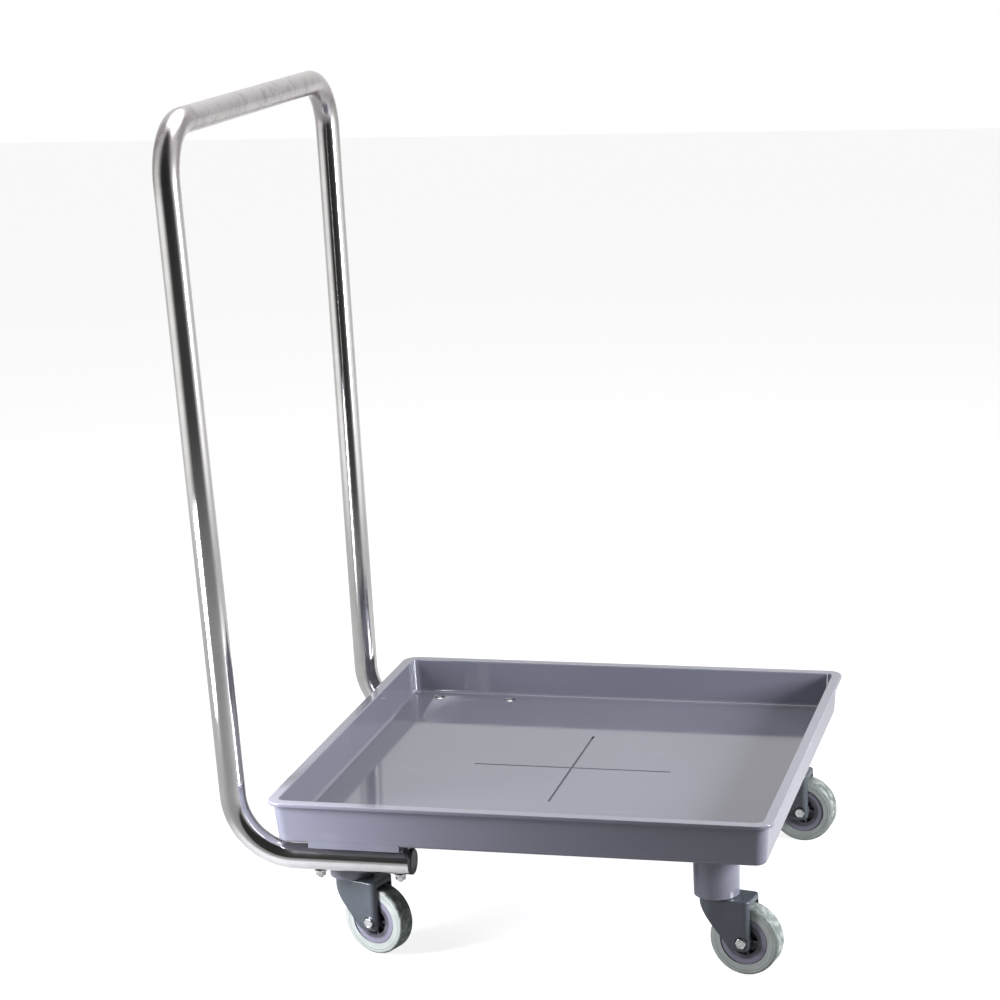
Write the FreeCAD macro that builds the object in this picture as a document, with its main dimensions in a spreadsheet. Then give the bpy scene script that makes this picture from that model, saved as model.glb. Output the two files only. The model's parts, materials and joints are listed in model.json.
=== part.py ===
import FreeCAD, Part
import math
import os

import Sketcher
from FreeCAD import Placement, Rotation, Vector

# Glass rack dolly: a square moulded tray on four swivel casters, pushed by a
# two-piece tubular handle that is bolted under the tray.
# Millimetres. The origin is on the floor, under the centre of the whole dolly.
# +X is the way the dolly is pushed, +Z is up, and left is +Y.

doc = FreeCAD.newDocument("glass_rack_dolly")
dims = doc.addObject("Spreadsheet::Sheet", "dims")

SIZES = [
    # Tray
    ("rim_side", 540, "outside width of the square rim"),
    ("rim_top", 184, "top of the rim above the floor"),
    ("rim_thickness", 4.5, "thickness of the turned-out rim"),
    ("rim_overhang", 5.5, "rim beyond the outer wall"),
    ("rim_corner", 18, "plan radius of the rim corners"),
    ("rim_round", 1.2, "rounding of the rim edges"),
    ("wall_thickness", 6, "wall at the rim"),
    ("wall_draft", 3.5, "outer wall's inset at its foot"),
    ("well_draft", 1.5, "inner wall's inset at the deck"),
    ("well_depth", 41, "rim top down to the deck"),
    ("well_corner", 9, "plan radius of the inner corners"),
    ("well_round", 4, "rounding between deck and inner wall"),
    ("deck_thickness", 5.5, "deck the rack stands on"),
    ("foot_round", 4, "rounding at the outer wall's foot"),
    ("cross_length", 226, "each groove of the centre cross"),
    ("cross_width", 3, "width of those grooves"),
    ("cross_depth", 2, "depth of those grooves"),
    ("rib_depth", 8, "stiffening ribs under the deck"),
    ("rib_width", 4, "thickness of those ribs"),
    ("rib_cells", 4, "rib cells between two caster bosses"),
    # Caster bosses
    ("stem_spacing", 398, "caster stem to caster stem, both ways"),
    ("boss_height", 83.5, "boss face above the floor"),
    ("boss_diameter", 48, "caster boss at its face"),
    ("boss_draft", 0.6, "boss taper in degrees"),
    ("gusset_reach", 9, "gusset foot beyond the boss"),
    ("gusset_drop", 16, "gusset height down the boss"),
    ("gusset_width", 4, "gusset thickness"),
    # Saddles for the handle legs
    ("saddle_length", 100, "saddle along the leg"),
    ("saddle_centre", 176, "saddle middle behind the tray centre"),
    ("saddle_depth", 8.5, "deck underside to the top of the tube"),
    ("saddle_lip", 5, "saddle skirt below the deck underside"),
    ("saddle_core", 18, "width of the grooved seat"),
    ("saddle_grip", 1.5, "seat's depth beside the tube"),
    ("seat_clearance", 0.1, "radial gap between seat and tube"),
    # Handle
    ("tube_diameter", 28, "handle tube"),
    ("tube_wall", 1.5, "handle tube wall"),
    ("handle_height", 908, "top of the handle above the floor"),
    ("seam_height", 364, "joint of the upper and lower handle"),
    ("corner_reach", 312.3, "leg corner behind the tray centre"),
    ("run_end", 120, "tube end behind the tray centre"),
    ("run_spacing", 477, "leg to leg under the tray"),
    ("lean", 1.6, "handle leaning back, in degrees"),
    ("splay", 2, "each leg leaning out, in degrees"),
    ("leg_bend", 67, "centre-line radius of the lower bends"),
    ("hoop_bend", 57, "centre-line radius of the top bends"),
    ("spigot_length", 90, "inner sleeve across the joint"),
    ("spigot_wall", 2, "inner sleeve wall"),
    ("spigot_clearance", 0.1, "radial gap round the sleeve"),
    ("cap_flange", 3.5, "end cap's visible thickness"),
    ("cap_plug", 8, "end cap inside the tube"),
    ("cap_clearance", 0.1, "radial gap round the plug"),
    ("cap_round", 1, "edge of the end cap"),
    # Bolts through deck, saddle and leg
    ("bolt_diameter", 6, "bolt shank"),
    ("bolt_clearance", 0.3, "radial gap in the bolt holes"),
    ("bolt_centre", 176.75, "middle of a bolt pair behind the tray centre"),
    ("bolt_spacing", 88.5, "bolt to bolt along a leg"),
    ("bolt_head_diameter", 12, "low round bolt head"),
    ("bolt_head_height", 2.6, "low round bolt head"),
    ("head_recess_gap", 1, "radial room round a sunk bolt head"),
    ("bolt_spare", 2.8, "bolt end below its nut"),
    ("washer_diameter", 13, "plain washer"),
    ("washer_thickness", 1.5, "plain washer"),
    ("nut_flats", 10, "nut across its flats"),
    ("nut_height", 5, "nut"),
    # Swivel
    ("heading_front_right", -11, "caster heading at rest, in degrees"),
    ("heading_front_left", -6, "caster heading at rest, in degrees"),
    ("heading_rear_right", -19, "caster heading at rest, in degrees"),
    ("heading_rear_left", -25, "caster heading at rest, in degrees"),
    ("stem_diameter", 11, "grip stem in its socket"),
    ("stem_length", 38, "grip stem above the boss face"),
    ("stem_groove", 0.8, "depth of the grip groove"),
    ("socket_wall", 2.4, "socket round the stem"),
    ("socket_clearance", 0.05, "radial gap inside and round the socket"),
    ("socket_flange", 25, "socket flange diameter"),
    ("flange_thickness", 1.5, "socket flange"),
    ("collar_thickness", 1.9, "stem collar that carries the load"),
    ("pin_diameter", 10, "swivel pin under the collar"),
    ("pin_length", 14, "swivel pin below the collar"),
    ("running_clearance", 0.05, "radial gap of every running fit"),
    ("race_height", 4, "swivel bearing ring"),
    ("race_diameter", 25.8, "swivel bearing ring"),
    ("swivel_gap", 0.8, "boss face to fork crown"),
    # Fork
    ("trail", 32.5, "axle behind the stem"),
    ("fork_width", 36.4, "outside of the fork legs"),
    ("fork_gap", 24.8, "inside of the fork legs"),
    ("fork_back", 8.5, "leg beyond the axle"),
    ("fork_bottom", 12, "leg below the axle"),
    ("fork_throat", 40.5, "radius the fork clears round the axle"),
    ("fork_front_height", 78, "lowest point of the crown's front edge"),
    ("fork_slope", 51, "slope of the leading edge, in degrees"),
    ("fork_end_round", 8, "rounded leg ends"),
    ("crown_corner", 6, "plan rounding of the crown's rear corners"),
    ("crown_round", 1.5, "edge round the top of the crown"),
    # Wheel
    ("wheel_diameter", 75, "wheel over its tyre"),
    ("tyre_width", 22, "tyre"),
    ("tyre_shoulder", 3, "rounding of the tread edges"),
    ("hub_diameter", 52, "hub under the tyre"),
    ("hub_width", 20.4, "hub face to hub face"),
    ("hub_seat_gap", 0.05, "radial gap between hub and tyre"),
    ("recess_outer", 31, "outer diameter of the hub recess"),
    ("recess_depth", 6, "depth of the hub recess"),
    ("nave_diameter", 18, "hub round its bearing sleeve"),
    ("nave_gap", 0.2, "nave to fork leg"),
    ("spoke_width", 2.4, "ribs in the hub recess"),
    ("spoke_inset", 1.2, "ribs below the hub face"),
    ("sleeve_diameter", 10, "bearing sleeve on the axle"),
    ("axle_diameter", 6, "axle bolt"),
    ("axle_recess", 1.2, "leg recess round head and nut"),
    ("axle_recess_diameter", 14, "leg recess round head and nut"),
    ("axle_head", 3.6, "axle bolt head"),
    ("axle_nut", 5, "axle nut"),
    ("axle_spare", 1.6, "bolt end beyond the axle nut"),
]
for row, (alias, value, meaning) in enumerate(SIZES, start=1):
    dims.set(f"A{row}", meaning)
    dims.set(f"B{row}", str(value))
    dims.setAlias(f"B{row}", alias)
doc.recompute()

SPOKES = 5

# Places that follow from the sizes above
DECK_TOP = "(dims.rim_top - dims.well_depth)"
DECK_UNDERSIDE = f"({DECK_TOP} - dims.deck_thickness)"
WALL_TOP_HALF = "(dims.rim_side / 2 - dims.rim_overhang)"
WALL_FOOT_HALF = f"({WALL_TOP_HALF} - dims.wall_draft)"
WELL_TOP_HALF = f"({WALL_TOP_HALF} - dims.wall_thickness)"
WELL_FOOT_HALF = f"({WELL_TOP_HALF} - dims.well_draft)"
TUBE_RADIUS = "(dims.tube_diameter / 2)"
TUBE_BORE = f"({TUBE_RADIUS} - dims.tube_wall)"
RUN_HEIGHT = f"({DECK_UNDERSIDE} - dims.saddle_depth - {TUBE_RADIUS})"
RUN_HALF = "(dims.run_spacing / 2)"
HOOP_RISE = f"(dims.handle_height - {TUBE_RADIUS} - {RUN_HEIGHT})"
SEAM_RISE = f"(dims.seam_height - {RUN_HEIGHT})"
# The handle reaches further back than the tray, so the tray sits forward
HANDLE_REACH = f"(dims.corner_reach + {HOOP_RISE} * tan(dims.lean) + {TUBE_RADIUS})"
TRAY_X = f"(({HANDLE_REACH} - dims.rim_side / 2) / 2)"
CORNER_X = f"({TRAY_X} - dims.corner_reach)"
# A leg's own plane is turned about its run, so its lean is measured in it
LEG_LEAN = "asin(cos(dims.splay) * sin(dims.lean))"
LEG_SPLAY = f"asin(sin(dims.splay) / cos({LEG_LEAN}))"
LEG_LENGTH = f"({SEAM_RISE} / (cos(dims.lean) * cos(dims.splay)))"
FORK_TOP = "(dims.boss_height - dims.swivel_gap)"
AXLE_HEIGHT = "(dims.wheel_diameter / 2)"
COLLAR_TOP = "(dims.boss_height - dims.flange_thickness)"
COLLAR_FOOT = f"({COLLAR_TOP} - dims.collar_thickness)"
RACE_FOOT = f"({COLLAR_FOOT} - dims.running_clearance - dims.race_height)"
LEG_FACE = "(dims.fork_width / 2)"
RECESS_FLOOR = f"({LEG_FACE} - dims.axle_recess)"

CASTERS = {
    "front_right": (1, -1),
    "front_left": (1, 1),
    "rear_right": (-1, -1),
    "rear_left": (-1, 1),
}
SIDES = {"right": -1, "left": 1}


def number(expression):
    """The value of an expression over the sheet."""
    return float(dims.evalExpression(str(expression)))


def new_body(label, x="0", y="0", z="0", axis=None, angle="0"):
    """A sub-part's body, placed by expressions and turned about one axis."""
    body = doc.addObject("PartDesign::Body", label)
    body.Label = label
    body.Placement = Placement(Vector(0, 0, 0), Rotation(axis or Vector(0, 0, 1), 1))
    body.setExpression("Placement.Base.x", x)
    body.setExpression("Placement.Base.y", y)
    body.setExpression("Placement.Base.z", z)
    body.setExpression("Placement.Rotation.Angle", angle)
    return body


def origin_part(body, role):
    """One of a body's own planes or axes."""
    return next(item for item in body.Origin.OriginFeatures if item.Role == role)


def new_sketch(body, name, role, offset=None):
    """A sketch on one of the body's planes, moved along its normal."""
    sketch = body.newObject("Sketcher::SketchObject", name)
    sketch.AttachmentSupport = [(origin_part(body, role), "")]
    sketch.MapMode = "FlatFace"
    if offset is not None:
        sketch.setExpression("AttachmentOffset.Base.z", offset)
    return sketch


def hold(sketch, geometry, point, x, y):
    """Hold a sketch point at (x, y), both expressions."""
    for kind, expression in (("DistanceX", x), ("DistanceY", y)):
        datum = Sketcher.Constraint(kind, -1, 1, geometry, point, number(expression))
        index = sketch.addConstraint(datum)
        sketch.setExpression(f"Constraints[{index}]", str(expression))


def add_line(sketch, start, end, construction=False):
    """A line between two held points."""
    ends = [Vector(number(x), number(y), 0) for x, y in (start, end)]
    line = sketch.addGeometry(Part.LineSegment(*ends), construction)
    hold(sketch, line, 1, *start)
    hold(sketch, line, 2, *end)
    return line


def add_arc(sketch, first, second):
    """An arc from the end of one line, tangent to it, to the start of the next."""
    start = sketch.Geometry[first].EndPoint
    end = sketch.Geometry[second].StartPoint
    heading = (start - sketch.Geometry[first].StartPoint).normalize()
    chord = end - start
    inward = Vector(-heading.y, heading.x, 0)
    if inward.dot(chord) < 0:
        inward = inward.negative()
    radius = chord.Length ** 2 / (2 * inward.dot(chord))
    centre = start + inward * radius
    half_turn = (start - centre).getAngle(end - centre) / 2
    middle = (centre + (start - centre) * math.cos(half_turn)
              + heading * radius * math.sin(half_turn))
    turns_left = heading.cross(inward).z > 0
    ends = (start, middle, end) if turns_left else (end, middle, start)
    near, far = (1, 2) if turns_left else (2, 1)
    arc = sketch.addGeometry(Part.Arc(*ends), False)
    sketch.addConstraint(Sketcher.Constraint("Tangent", first, 2, arc, near))
    sketch.addConstraint(Sketcher.Constraint("Coincident", arc, far, second, 1))


def polygon(sketch, corners):
    """A closed outline with straight sides and held corners."""
    count = len(corners)
    points = [Vector(number(x), number(y), 0) for x, y in corners]
    for index in range(count):
        side = Part.LineSegment(points[index], points[(index + 1) % count])
        sketch.addGeometry(side, False)
    for index in range(count):
        joint = Sketcher.Constraint("Coincident", index, 2, (index + 1) % count, 1)
        sketch.addConstraint(joint)
        hold(sketch, index, 1, *corners[index])


def rectangle(sketch, low_x, low_y, high_x, high_y):
    """An upright rectangle."""
    polygon(sketch, [(low_x, low_y), (high_x, low_y), (high_x, high_y), (low_x, high_y)])


def hexagon(sketch, flats):
    """A hexagon about the sketch's origin."""
    reach = f"({flats} / 2 / cos(30))"
    turns = [f"{60 * corner}" for corner in range(6)]
    polygon(sketch, [(f"{reach} * cos({turn})", f"{reach} * sin({turn})") for turn in turns])


def circle(sketch, x, y, radius):
    """A circle with a held centre."""
    shape = Part.Circle(Vector(number(x), number(y), 0), Vector(0, 0, 1), number(radius))
    index = sketch.addGeometry(shape, False)
    hold(sketch, index, 3, x, y)
    datum = sketch.addConstraint(Sketcher.Constraint("Radius", index, number(radius)))
    sketch.setExpression(f"Constraints[{datum}]", str(radius))


def rounded_square(sketch, half, corner):
    """A square about the sketch's origin with round corners."""
    flat = f"({half} - {corner})"
    sides = [
        ((f"-{flat}", f"-{half}"), (flat, f"-{half}")),
        ((half, f"-{flat}"), (half, flat)),
        ((flat, half), (f"-{flat}", half)),
        ((f"-{half}", flat), (f"-{half}", f"-{flat}")),
    ]
    lines = [add_line(sketch, start, end) for start, end in sides]
    for index in range(4):
        add_arc(sketch, lines[index], lines[(index + 1) % 4])


def add_feature(body, kind, name, profile=None, **bound):
    """A PartDesign feature whose properties are bound to expressions."""
    feature = body.newObject(f"PartDesign::{kind}", name)
    if profile is not None:
        feature.Profile = profile
    for key, expression in bound.items():
        feature.setExpression(key, str(expression))
    return feature


def pad(body, sketch, name, length, down=False, middle=False, **bound):
    """Material added along the sketch's normal."""
    feature = add_feature(body, "Pad", name, sketch, Length=length, **bound)
    feature.Reversed = down
    feature.Midplane = middle
    return feature


def pocket(body, sketch, name, length, up=False, middle=False):
    """Material cut against the sketch's normal, or along it when up is set."""
    feature = add_feature(body, "Pocket", name, sketch, Length=length)
    feature.Reversed = up
    feature.Midplane = middle
    return feature


def revolve(body, sketch, name, axis="V_Axis"):
    """A full turn about an axis of the sketch."""
    feature = add_feature(body, "Revolution", name, sketch)
    feature.ReferenceAxis = (sketch, [axis])
    feature.Angle = 360
    return feature


def repeat(body, kind, name, originals, **settings):
    """A pattern or a mirror, which becomes the body's tip."""
    feature = body.newObject(f"PartDesign::{kind}", name)
    feature.Originals = originals
    for key, value in settings.items():
        setattr(feature, key, value)
    body.Tip = feature
    return feature


def round_edges(body, name, radius, chosen, kind="Fillet"):
    """Round or chamfer the tip's edges that the test picks."""
    doc.recompute()
    base = body.Tip
    edges = base.Shape.Edges
    names = [f"Edge{index}" for index, edge in enumerate(edges, start=1) if chosen(edge)]
    if not names:
        raise RuntimeError(f"{body.Label}: no edge found for {name}")
    feature = body.newObject(f"PartDesign::{kind}", name)
    feature.Base = (base, names)
    feature.setExpression("Radius" if kind == "Fillet" else "Size", str(radius))
    return feature


def lies_at(edge, height, tolerance=0.01):
    """True for an edge that lies flat at a height."""
    box = edge.BoundBox
    return abs(box.ZMin - height) < tolerance and abs(box.ZMax - height) < tolerance


# Tray


def build_tray():
    """One moulding: walls, turned-out rim, ribbed deck, bosses and saddles."""
    body = new_body("tray", x=TRAY_X)
    wall_corner = "(dims.rim_corner - dims.rim_overhang)"
    foot = new_sketch(body, "tray_foot", "XY_Plane", DECK_UNDERSIDE)
    rounded_square(foot, WALL_FOOT_HALF, wall_corner)
    top = new_sketch(body, "tray_top", "XY_Plane", "dims.rim_top")
    rounded_square(top, WALL_TOP_HALF, wall_corner)
    block = add_feature(body, "AdditiveLoft", "tray_block", foot)
    block.Sections = [top]
    block.Ruled = True

    rim = new_sketch(body, "tray_rim", "XY_Plane", "dims.rim_top")
    rounded_square(rim, "(dims.rim_side / 2)", "dims.rim_corner")
    pad(body, rim, "rim", "dims.rim_thickness", down=True)

    deck = new_sketch(body, "tray_deck", "XY_Plane", DECK_TOP)
    rounded_square(deck, WELL_FOOT_HALF, "dims.well_corner")
    mouth = new_sketch(body, "tray_mouth", "XY_Plane", "dims.rim_top")
    rounded_square(mouth, WELL_TOP_HALF, "dims.well_corner")
    well = add_feature(body, "SubtractiveLoft", "well", deck)
    well.Sections = [mouth]
    well.Ruled = True

    round_edges(body, "well_rounding", "dims.well_round",
                lambda edge: lies_at(edge, number(DECK_TOP)))
    round_edges(body, "foot_rounding", "dims.foot_round",
                lambda edge: lies_at(edge, number(DECK_UNDERSIDE)))
    rim_foot = number("dims.rim_top - dims.rim_thickness")
    rim_half = number("dims.rim_side / 2")
    round_edges(body, "rim_rounding", "dims.rim_round",
                lambda edge: lies_at(edge, number("dims.rim_top"))
                or (lies_at(edge, rim_foot) and reach_of(edge) > rim_half - 0.01))

    add_ribs(body)
    add_bosses(body)
    add_saddles(body)
    add_cross(body)
    return body


def reach_of(edge):
    """How far an edge gets from the body's middle along X or Y."""
    box = edge.BoundBox
    return max(abs(box.XMin), abs(box.XMax), abs(box.YMin), abs(box.YMax))


def add_ribs(body):
    """A grid of ribs under the deck, from boss to boss."""
    half = "(dims.stem_spacing / 2)"
    edge = f"({half} + dims.rib_width / 2)"
    cells = int(number("dims.rib_cells"))
    for name, along, across in (("rib_x", "X_Axis", "Y_Axis"), ("rib_y", "Y_Axis", "X_Axis")):
        sketch = new_sketch(body, name, "XY_Plane", DECK_UNDERSIDE)
        if along == "X_Axis":
            rectangle(sketch, f"-{edge}", f"-{edge}", edge, f"-{half} + dims.rib_width / 2")
        else:
            rectangle(sketch, f"-{edge}", f"-{edge}", f"-{half} + dims.rib_width / 2", edge)
        rib = pad(body, sketch, f"{name}_pad", "dims.rib_depth", down=True)
        repeat(body, "LinearPattern", f"{name}_row", [rib],
               Direction=(origin_part(body, across), [""]),
               Length=number("dims.stem_spacing"), Occurrences=cells + 1)
        body.Tip.setExpression("Length", "dims.stem_spacing")


def add_bosses(body):
    """Four tapered bosses with gussets, each bored for a caster's socket."""
    centre = "(dims.stem_spacing / 2)"
    radius = "(dims.boss_diameter / 2)"
    inside = f"({DECK_UNDERSIDE} + dims.deck_thickness / 2)"
    ring = new_sketch(body, "boss_circle", "XY_Plane", "dims.boss_height")
    circle(ring, centre, centre, radius)
    boss = pad(body, ring, "boss", f"{inside} - dims.boss_height",
               TaperAngle="dims.boss_draft")
    foot = f"({radius} + dims.gusset_reach)"
    shoulder = f"({radius} - dims.gusset_width)"
    low = f"({DECK_UNDERSIDE} - dims.gusset_drop)"
    gussets = []
    for name, role, sign, place in (("gusset_x", "XZ_Plane", 1, f"-{centre}"),
                                    ("gusset_y", "YZ_Plane", 1, centre)):
        sketch = new_sketch(body, name, role, place)
        polygon(sketch, [
            (f"{centre} - {foot}", DECK_UNDERSIDE),
            (f"{centre} - {radius}", low),
            (f"{centre} - {shoulder}", low),
            (f"{centre} - {shoulder}", inside),
            (f"{centre} - {foot}", inside),
        ])
        gussets.append(pad(body, sketch, f"{name}_inner", "dims.gusset_width", middle=True))
        sketch = new_sketch(body, f"{name}_far", role, place)
        polygon(sketch, [
            (f"{centre} + {foot}", DECK_UNDERSIDE),
            (f"{centre} + {radius}", low),
            (f"{centre} + {shoulder}", low),
            (f"{centre} + {shoulder}", inside),
            (f"{centre} + {foot}", inside),
        ])
        gussets.append(pad(body, sketch, f"{name}_outer", "dims.gusset_width", middle=True))
    hole = new_sketch(body, "socket_hole", "XY_Plane", "dims.boss_height")
    socket = "(dims.stem_diameter / 2 + dims.socket_clearance + dims.socket_wall)"
    circle(hole, centre, centre, f"{socket} + dims.socket_clearance")
    bore = pocket(body, hole, "socket_bore", "dims.stem_length + dims.flange_thickness", up=True)
    repeat(body, "PolarPattern", "four_bosses", [boss, *gussets, bore],
           Axis=(origin_part(body, "Z_Axis"), [""]), Angle=360, Occurrences=4)


def add_saddles(body):
    """Seats for the two handle legs, with sunk bolt holes, one mirrored."""
    ahead = "(-dims.saddle_centre + dims.saddle_length / 2)"
    behind = "(-dims.saddle_centre - dims.saddle_length / 2)"
    inside = f"({DECK_TOP} - 1)"
    skirt = new_sketch(body, "saddle_skirt", "XY_Plane", inside)
    inner_edge = f"-({RUN_HALF} - {TUBE_RADIUS} - dims.saddle_core / 2)"
    rectangle(skirt, behind, f"-({WALL_FOOT_HALF})", ahead, inner_edge)
    block = pad(body, skirt, "saddle_block",
                f"{inside} - {DECK_UNDERSIDE} + dims.saddle_lip", down=True)
    core = new_sketch(body, "saddle_seat", "XY_Plane", inside)
    rectangle(core, behind, f"-({RUN_HALF} + dims.saddle_core / 2)",
              ahead, f"-({RUN_HALF} - dims.saddle_core / 2)")
    seat = pad(body, core, "saddle_core", f"{inside} - {DECK_UNDERSIDE}"
               " + dims.saddle_depth + dims.saddle_grip", down=True)
    round_seat = new_sketch(body, "tube_groove", "YZ_Plane", ahead)
    circle(round_seat, f"-{RUN_HALF}", RUN_HEIGHT, f"{TUBE_RADIUS} + dims.seat_clearance")
    groove = pocket(body, round_seat, "groove", "dims.saddle_length")
    holes = new_sketch(body, "bolt_holes", "XY_Plane", DECK_TOP)
    heads = new_sketch(body, "head_recesses", "XY_Plane", DECK_TOP)
    for step in (-1, 1):
        place = f"(-dims.bolt_centre + {step} * dims.bolt_spacing / 2)"
        circle(holes, place, f"-{RUN_HALF}", "dims.bolt_diameter / 2 + dims.bolt_clearance")
        circle(heads, place, f"-{RUN_HALF}",
               "dims.bolt_head_diameter / 2 + dims.head_recess_gap")
    through = pocket(body, holes, "bolt_bores",
                     "dims.deck_thickness + dims.saddle_depth + dims.saddle_grip")
    sunk = pocket(body, heads, "head_bores", "dims.bolt_head_height")
    repeat(body, "Mirrored", "two_saddles", [block, seat, groove, through, sunk],
           MirrorPlane=(origin_part(body, "XZ_Plane"), [""]))


def add_cross(body):
    """Two crossed grooves in the middle of the deck."""
    sketch = new_sketch(body, "cross_outline", "XY_Plane", DECK_TOP)
    reach = "(dims.cross_length / 2)"
    half = "(dims.cross_width / 2)"
    arm = [(half, reach), (f"-{half}", reach), (f"-{half}", half)]
    corners = []
    for quarter in range(4):
        for x, y in arm:
            for _ in range(quarter):
                x, y = f"-({y})", x
            corners.append((x, y))
    polygon(sketch, corners)
    pocket(body, sketch, "cross", "dims.cross_depth")


# Handle


def tube_rings(sketch, x, y):
    """The tube's section, an outer and an inner circle."""
    circle(sketch, x, y, TUBE_RADIUS)
    circle(sketch, x, y, TUBE_BORE)


def sweep(body, name, section, route):
    """A tube along a route of lines and tangent arcs."""
    feature = add_feature(body, "AdditivePipe", name, section)
    feature.Spine = route
    return feature


def build_hoop():
    """The upper handle: half of it swept from the middle of the grip, and mirrored."""
    body = new_body("handle_hoop", x=CORNER_X, z=RUN_HEIGHT,
                    axis=Vector(0, 1, 0), angle="-dims.lean")
    top = f"({HOOP_RISE} / cos(dims.lean))"
    seam = f"({SEAM_RISE} / cos(dims.lean))"
    corner = f"({RUN_HALF} + {top} * tan(dims.splay))"
    setback = "(dims.hoop_bend * tan(45 + dims.splay / 2))"
    route = new_sketch(body, "hoop_route", "YZ_Plane")
    grip = add_line(route, ("0", top), (f"-({corner} - {setback})", top))
    upright = add_line(
        route,
        (f"-({corner} - {setback} * sin(dims.splay))", f"{top} - {setback} * cos(dims.splay)"),
        (f"-({RUN_HALF} + {seam} * tan(dims.splay))", seam))
    add_arc(route, grip, upright)
    section = new_sketch(body, "hoop_section", "XZ_Plane")
    tube_rings(section, "0", top)
    half = sweep(body, "half_hoop", section, route)
    repeat(body, "Mirrored", "whole_hoop", [half],
           MirrorPlane=(origin_part(body, "XZ_Plane"), [""]))
    return body


def build_leg(side, sign):
    """A lower leg: a run under the tray, one bend and a short upright."""
    body = new_body(f"handle_leg_{side}", x=CORNER_X, y=f"{sign} * {RUN_HALF}", z=RUN_HEIGHT,
                    axis=Vector(1, 0, 0), angle=f"{-sign} * {LEG_SPLAY}")
    setback = f"(dims.leg_bend * tan(45 deg - {LEG_LEAN} / 2))"
    run_start = "(dims.corner_reach - dims.run_end)"
    route = new_sketch(body, f"leg_route_{side}", "XZ_Plane")
    run = add_line(route, (run_start, "0"), (setback, "0"))
    upright = add_line(
        route,
        (f"-{setback} * sin({LEG_LEAN})", f"{setback} * cos({LEG_LEAN})"),
        (f"-{LEG_LENGTH} * sin({LEG_LEAN})", f"{LEG_LENGTH} * cos({LEG_LEAN})"))
    add_arc(route, run, upright)
    section = new_sketch(body, f"leg_section_{side}", "YZ_Plane", run_start)
    tube_rings(section, "0", "0")
    sweep(body, f"leg_tube_{side}", section, route)
    for index, step in enumerate((-1, 1)):
        drill = body.newObject("PartDesign::SubtractiveCylinder", f"leg_hole_{side}_{index}")
        drill.Placement = Placement(Vector(0, 0, 0), Rotation(Vector(1, 0, 0), 1))
        drill.setExpression("Radius", "dims.bolt_diameter / 2 + dims.bolt_clearance")
        drill.setExpression("Height", "dims.tube_diameter * 2")
        drill.setExpression("Placement.Base.x", "dims.corner_reach - dims.bolt_centre"
                            f" + {step} * dims.bolt_spacing / 2")
        drill.setExpression("Placement.Base.y",
                            f"{sign} * dims.tube_diameter * sin({LEG_SPLAY})")
        drill.setExpression("Placement.Base.z", f"-dims.tube_diameter * cos({LEG_SPLAY})")
        drill.setExpression("Placement.Rotation.Angle", f"{sign} * {LEG_SPLAY}")
    return body


def build_spigot(side, sign):
    """The sleeve inside the tubes, half in the leg and half in the hoop."""
    body = new_body(f"handle_spigot_{side}", x=CORNER_X, y=f"{sign} * {RUN_HALF}",
                    z=RUN_HEIGHT, axis=Vector(1, 0, 0), angle=f"{-sign} * {LEG_SPLAY}")
    outer = f"({TUBE_BORE} - dims.spigot_clearance)"
    inner = f"({outer} - dims.spigot_wall)"
    low = f"({LEG_LENGTH} - dims.spigot_length / 2)"
    high = f"({LEG_LENGTH} + dims.spigot_length / 2)"

    def along(distance, radius):
        """A point beside the leg's upright axis, in the leg's plane."""
        return (f"{radius} * cos({LEG_LEAN}) - {distance} * sin({LEG_LEAN})",
                f"{radius} * sin({LEG_LEAN}) + {distance} * cos({LEG_LEAN})")

    sketch = new_sketch(body, f"spigot_outline_{side}", "XZ_Plane")
    polygon(sketch, [along(low, inner), along(low, outer), along(high, outer),
                     along(high, inner)])
    add_line(sketch, along(low, "0"), along(high, "0"), construction=True)
    revolve(body, sketch, f"spigot_{side}", axis="Axis0")
    return body


def build_cap(side, sign):
    """The plug that closes a leg's end under the tray."""
    body = new_body(f"end_cap_{side}", x=f"{TRAY_X} - dims.run_end",
                    y=f"{sign} * {RUN_HALF}", z=RUN_HEIGHT)
    plug = f"({TUBE_BORE} - dims.cap_clearance)"
    sketch = new_sketch(body, f"cap_outline_{side}", "XY_Plane")
    polygon(sketch, [
        ("-dims.cap_plug", "0"),
        ("dims.cap_flange", "0"),
        ("dims.cap_flange", f"{TUBE_RADIUS} - dims.cap_round"),
        ("dims.cap_flange - dims.cap_round", TUBE_RADIUS),
        ("0", TUBE_RADIUS),
        ("0", plug),
        ("-dims.cap_plug", plug),
    ])
    revolve(body, sketch, f"cap_{side}", axis="H_Axis")
    return body


# Bolts that hold the legs


def four_places(body, feature):
    """The feature at the second bolt of its leg, and the pair at the other leg."""
    row = repeat(body, "LinearPattern", f"{body.Label}_row", [feature],
                 Direction=(origin_part(body, "X_Axis"), [""]),
                 Length=number("dims.bolt_spacing"), Occurrences=2)
    row.setExpression("Length", "dims.bolt_spacing")


def bolt_body(label, height, side):
    """A body at one leg's rear bolt, seen along the bolt."""
    return new_body(label, x=f"{TRAY_X} - dims.bolt_centre - dims.bolt_spacing / 2",
                    y=f"{SIDES[side]} * {RUN_HALF}", z=height)


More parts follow.
